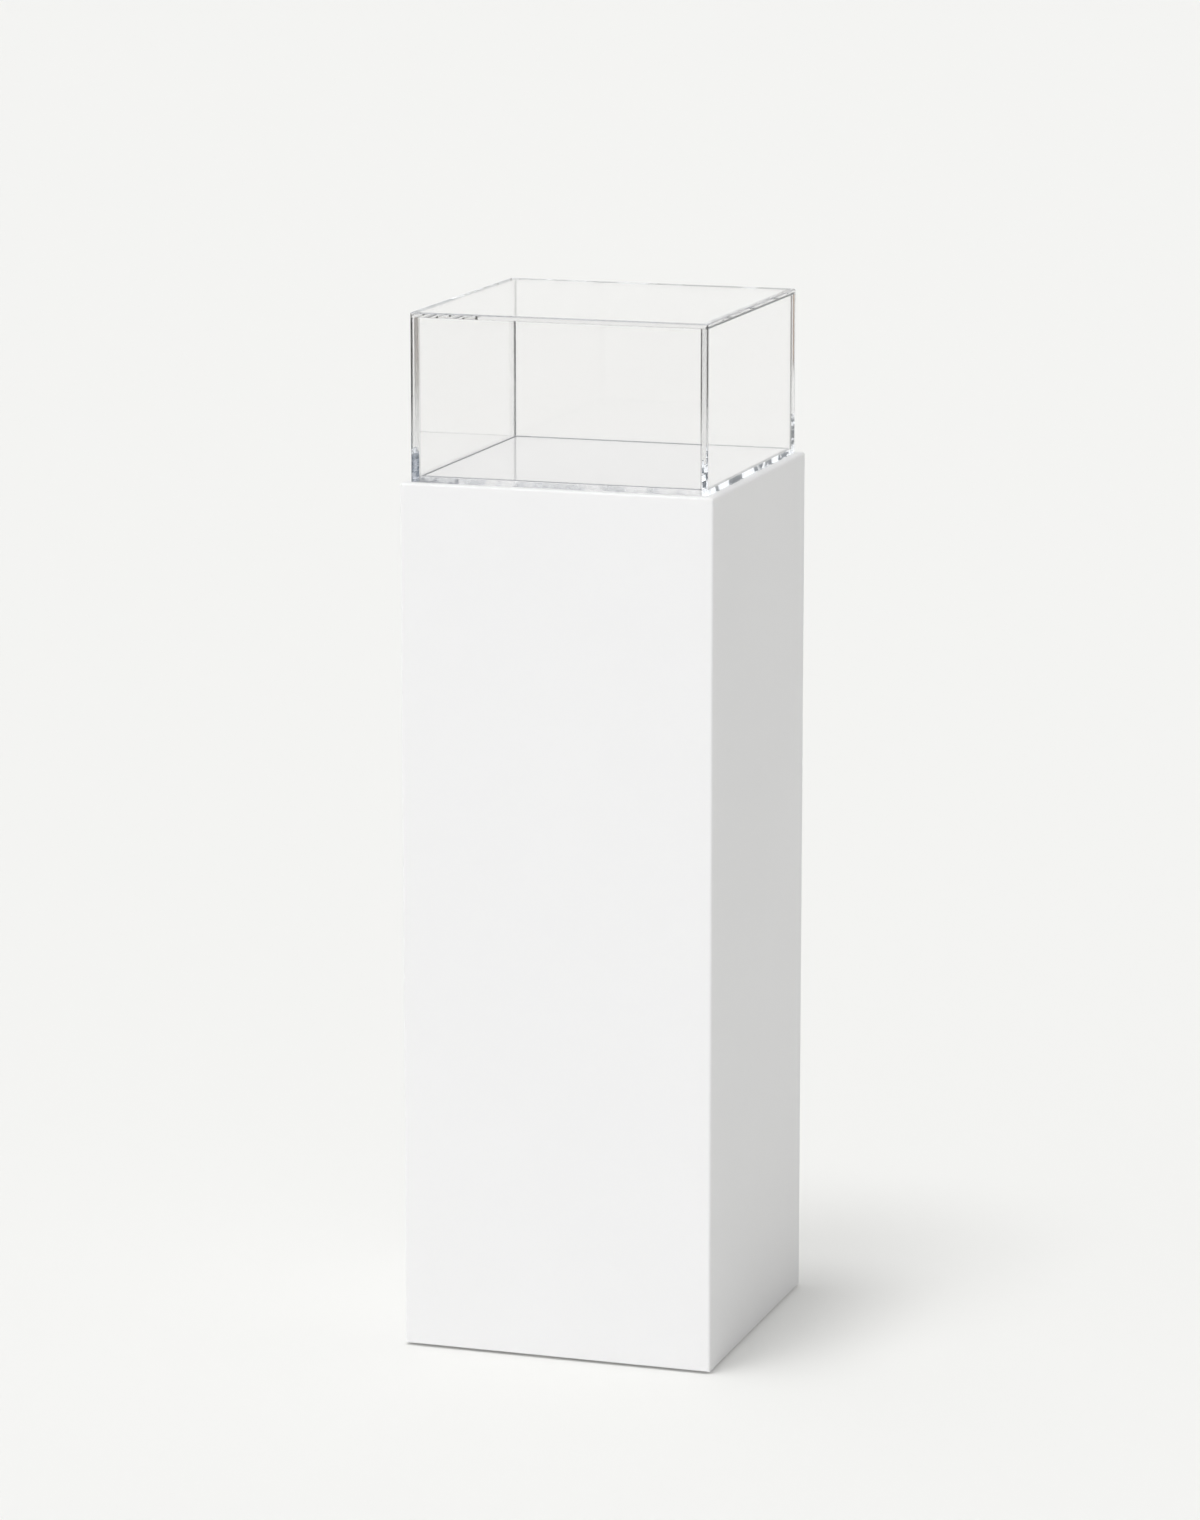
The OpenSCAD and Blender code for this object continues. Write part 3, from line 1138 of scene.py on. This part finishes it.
    def build_beads(self) -> bpy.types.Object:
        """Model the cement squeezed out along the four inner corners as small coves, whose grey
        tone is partly painted shade.

        Returns:
            The beads.
        """
        corner = self.inner - self.bead_gap
        low = Vector((corner - self.bead_size, corner - self.bead_size, self.seat))
        high = Vector((corner, corner, self.joint - self.bead_gap))
        beads = start_block("cement_beads", low, high)
        with editing(beads):
            pick_edges(beads, lambda a, b: all(max(v.x, v.y) < corner - NEAR for v in (a, b)))
            bpy.ops.mesh.bevel(
                offset=self.bead_size * self.bead_hollow,
                segments=self.bead_steps,
                profile=self.bead_profile,
                affect="EDGES",
            )
            for turn in range(1, 4):
                pick_faces(beads, lambda at, n: at.x > 0 and at.y > 0)
                bpy.ops.mesh.duplicate()
                bpy.ops.transform.rotate(
                    value=math.radians(90 * turn), orient_axis="Z", center_override=(0, 0, 0)
                )
        finish_faces(beads, smooth=False)
        # Cement coves, their grey partly painted shade.
        dress(beads, self.finishes.faint_bead.build("faint_bead"))
        self.paint(beads, "back_bead", lambda at, n: at.y > 0)
        self.paint(beads, "strong_bead", lambda at, n: at.x > 0 and at.y < 0)
        return beads

    def paint(self, piece: bpy.types.Object, finish: str, rule: Rule) -> None:
        """Give the faces that a rule wants one of the cover's finishes, by its name."""
        repaint(piece, getattr(self.finishes, finish).build(finish), rule)

    def holds_film(self, a: Vector, b: Vector) -> bool:
        """Pick the edges where the side panes butt, and that of the back pane's right end.

        Args:
            a: One end of an edge.
            b: Its other end.

        Returns:
            True for such an edge.
        """
        on_pane = close_to(abs(a.y), self.inner) and close_to(a.y, b.y)
        butts = on_pane and abs(a.x + b.x) / 2 > self.inner + NEAR
        return butts or (self.is_right_rim(a, b) and min(a.y, b.y) > self.inner - NEAR)

    def is_right_rim(self, a: Vector, b: Vector) -> bool:
        """True for a level edge of the right rim, at the joint."""
        level = close_to(a.z, self.joint) and close_to(b.z, self.joint)
        return level and close_to(a.x, self.rim) and close_to(b.x, self.rim)

    def is_left_end(self, a: Vector, b: Vector) -> bool:
        """True for the outer edge of the foot at the front pane's left end."""
        at_end = max(a.y, b.y) < -self.inner + NEAR and close_to(a.z, b.z)
        return at_end and close_to(a.x, b.x) and close_to(a.x, self.setback - self.half)

    def is_inner_rim(self, a: Vector, b: Vector) -> bool:
        """True for an edge round the inside of the foot."""
        inside = self.inner + 2 * self.setback
        return all(max(abs(v.x), abs(v.y)) < inside for v in (a, b))

    def is_outer(self, a: Vector, b: Vector) -> bool:
        """True for an upright outer edge or an edge round the top."""
        outside = all(max(abs(v.x), abs(v.y)) > self.half - NEAR for v in (a, b))
        return outside and max(a.z, b.z) > self.top - NEAR

    def is_bevel(self, middle: Vector, normal: Vector) -> bool:
        """True for a face that faces between two of the box's own directions."""
        return max(abs(normal.x), abs(normal.y), abs(normal.z)) < SQUARE_ON


@dataclass
class Inside:
    """What the plinth, its underside and the deck's rim hold, straight from the frame."""

    CORNERS: ClassVar[tuple[str, ...]] = ("front_left", "front_right", "back_left", "back_right")
    ENDS: ClassVar[tuple[str, ...]] = ("top", "base")

    def dress_all(self) -> list[bpy.types.Object]:
        """Give every carried-over node its finish.

        Returns:
            The nodes.
        """
        board = PressedBoard().build("raw_fibreboard")
        steel = PlatedSteel().build("zinc_plating")
        nylon = MouldedNylon().build("moulded_nylon")
        beech = PlanedWood(pale=(0.62, 0.44, 0.28), dark=(0.46, 0.29, 0.17))
        upright = PlanedWood(grain=Grain.ALONG_Z).build("softwood_upright")
        across = PlanedWood(grain=Grain.ALONG_X).build("softwood_across")
        deep = PlanedWood(grain=Grain.ALONG_Y).build("softwood_deep")
        plan = (
            (board, ["base_panel", "mid_diaphragm"]),
            (beech.build("pressed_beech"), ["mitre_biscuits"]),
            (upright, [f"corner_batten_{corner}" for corner in self.CORNERS]),
            (across, [f"{end}_cleat_{side}" for end in self.ENDS for side in ("front", "back")]),
            (deep, [f"{end}_cleat_{side}" for end in self.ENDS for side in ("left", "right")]),
            (steel, ["base_screws", "deck_screws", "glide_nails"]),
            (nylon, [f"glide_{corner}" for corner in self.CORNERS]),
            (SoftSeal().build("grey_silicone"), ["dust_seal"]),
        )
        nodes = []
        for finish, names in plan:
            for name in names:
                nodes.append(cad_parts[name])
                dress(nodes[-1], finish)
        return nodes


# ---- The studio ----


@dataclass(frozen=True)
class Lamp:
    """A wide soft lamp, far away."""

    name: str
    comes_from: Triple
    power: float
    spread: float

    def hang(self) -> None:
        """Put the lamp in the scene."""
        data = bpy.data.lights.new(self.name, "SUN")
        data.energy = self.power
        data.angle = math.radians(self.spread)
        holder = bpy.data.objects.new(self.name, data)
        holder.rotation_mode = "QUATERNION"
        holder.rotation_quaternion = Vector(self.comes_from).to_track_quat("Z", "Y")
        holder.visible_glossy = False
        holder.visible_transmission = False
        bpy.context.scene.collection.objects.link(holder)


@dataclass
class Studio:
    """A pale floor without end, a sky that is brighter in front, three lamps and the camera."""

    floor_size: float = 160.0
    floor_colour: Colour = (0.823, 0.823, 0.807)
    floor_pale: Colour = (0.913, 0.913, 0.896)
    floor_glow: float = 0.15
    pale: Colour = (0.940, 0.940, 0.922)
    ceiling: Colour = (0.16, 0.17, 0.18)
    horizon: Span = (0.05, 0.60)
    dim_side: Colour = (0.05, 0.05, 0.05)
    bright_side: Colour = (3.26, 3.27, 3.34)
    bright_from: Triple = (-0.385, -0.906, 0.175)
    bright_span: Span = (0.2, 0.97)
    overhead: Colour = (0.56, 0.56, 0.56)
    overhead_span: Span = (0.0, 0.36)
    lamps: tuple[Lamp, ...] = (
        Lamp("front_lamp", (-0.137, -0.315, 0.939), 0.70, 17.7),
        Lamp("top_lamp", (-0.099, -0.055, 0.994), 0.80, 9.8),
        Lamp("back_lamp", (-0.15, 0.50, 0.85), 0.22, 60.0),
    )
    lens: float = 134.172
    turn: float = 18.009
    tilt: float = 11.531
    eye: Triple = (1.9588, -6.0476, 1.9582)
    bounces: int = 48

    def build(self) -> None:
        """Set up the floor, the sky, the lamps, the light paths and the camera."""
        self.lay_floor()
        self.light_sky()
        for lamp in self.lamps:
            lamp.hang()
        self.aim_camera()
        scene = bpy.context.scene
        scene.view_settings.view_transform = "Standard"
        scene.cycles.max_bounces = self.bounces
        scene.cycles.glossy_bounces = self.bounces
        scene.cycles.transmission_bounces = self.bounces
        scene.cycles.transparent_max_bounces = self.bounces

    def lay_floor(self) -> None:
        """Lay the floor that the case stands on."""
        bpy.ops.object.select_all(action="DESELECT")
        bpy.ops.mesh.primitive_plane_add(size=self.floor_size, location=(0, 0, 0))
        floor = bpy.context.active_object
        floor.name = "studio_floor"
        material, sheet = new_material("studio_floor_paint")
        lit = sheet.node("BsdfDiffuse", {}, {"Color": self.floor_colour})
        even = sheet.node("Emission", {}, {"Color": self.floor_pale})
        seen = self.seen_straight(sheet) * self.floor_glow
        shader = sheet.node("MixShader", {}, {0: seen, 1: lit.outputs[0], 2: even.outputs[0]})
        sheet.show(shader)
        dress(floor, material)

    def seen_straight(self, sheet: NodeSheet) -> Signal:
        """1 for rays of the camera and of mirrors and glass, 0 for light that scatters.

        Args:
            sheet: The sheet that the nodes go on.

        Returns:
            The switch.
        """
        path = sheet.node("LightPath")
        seen = sheet.out(path, "Is Camera Ray")
        seen = seen.largest(sheet.out(path, "Is Glossy Ray"))
        return seen.largest(sheet.out(path, "Is Transmission Ray"))

    def light_sky(self) -> None:
        """Light the case from the front left and from overhead.

        Eye, mirror and glass see a pale sky with a dim ceiling in its place.
        """
        world = bpy.data.worlds.new("studio_sky")
        world.use_nodes = True
        bpy.context.scene.world = world
        sheet = NodeSheet(world.node_tree)
        seen = self.seen_straight(sheet)
        way = sheet.node("TexCoord").outputs["Generated"]
        up = sheet.out(sheet.node("SeparateXYZ", {}, {0: way}), "Z")
        shown = sheet.between(sheet.stepped(up, *self.horizon), self.pale, self.ceiling)
        dot = {"operation": "DOT_PRODUCT"}
        facing = sheet.out(sheet.node("VectorMath", dot, {0: way, 1: self.bright_from}), "Value")
        side = sheet.stepped(facing, *self.bright_span)
        round_about = sheet.between(side, self.dim_side, self.bright_side)
        light = sheet.between(sheet.stepped(up, *self.overhead_span), round_about, self.overhead)
        colour = sheet.between(seen, light, shown)
        background = sheet.node("Background", {}, {"Color": colour})
        sheet.node("OutputWorld", {}, {"Surface": background.outputs[0]})

    def aim_camera(self) -> None:
        """Stand the camera where the photograph was taken."""
        camera = bpy.data.cameras.new("camera")
        camera.lens = self.lens
        camera.clip_end = self.floor_size
        holder = bpy.data.objects.new("camera", camera)
        holder.location = self.eye
        holder.rotation_euler = (math.radians(90 - self.tilt), 0, math.radians(self.turn))
        bpy.context.scene.collection.objects.link(holder)
        bpy.context.scene.camera = holder


def main() -> None:
    """Build the case from the floor up, then the studio."""
    logging.basicConfig(level=logging.INFO, format="%(message)s")
    for piece in (Plinth().build(), Deck().build(), *Cover().build(), *Inside().dress_all()):
        LOG.info("%s: %d faces", piece.name, len(piece.data.polygons))
    Studio().build()


if __name__ == "__main__":
    main()
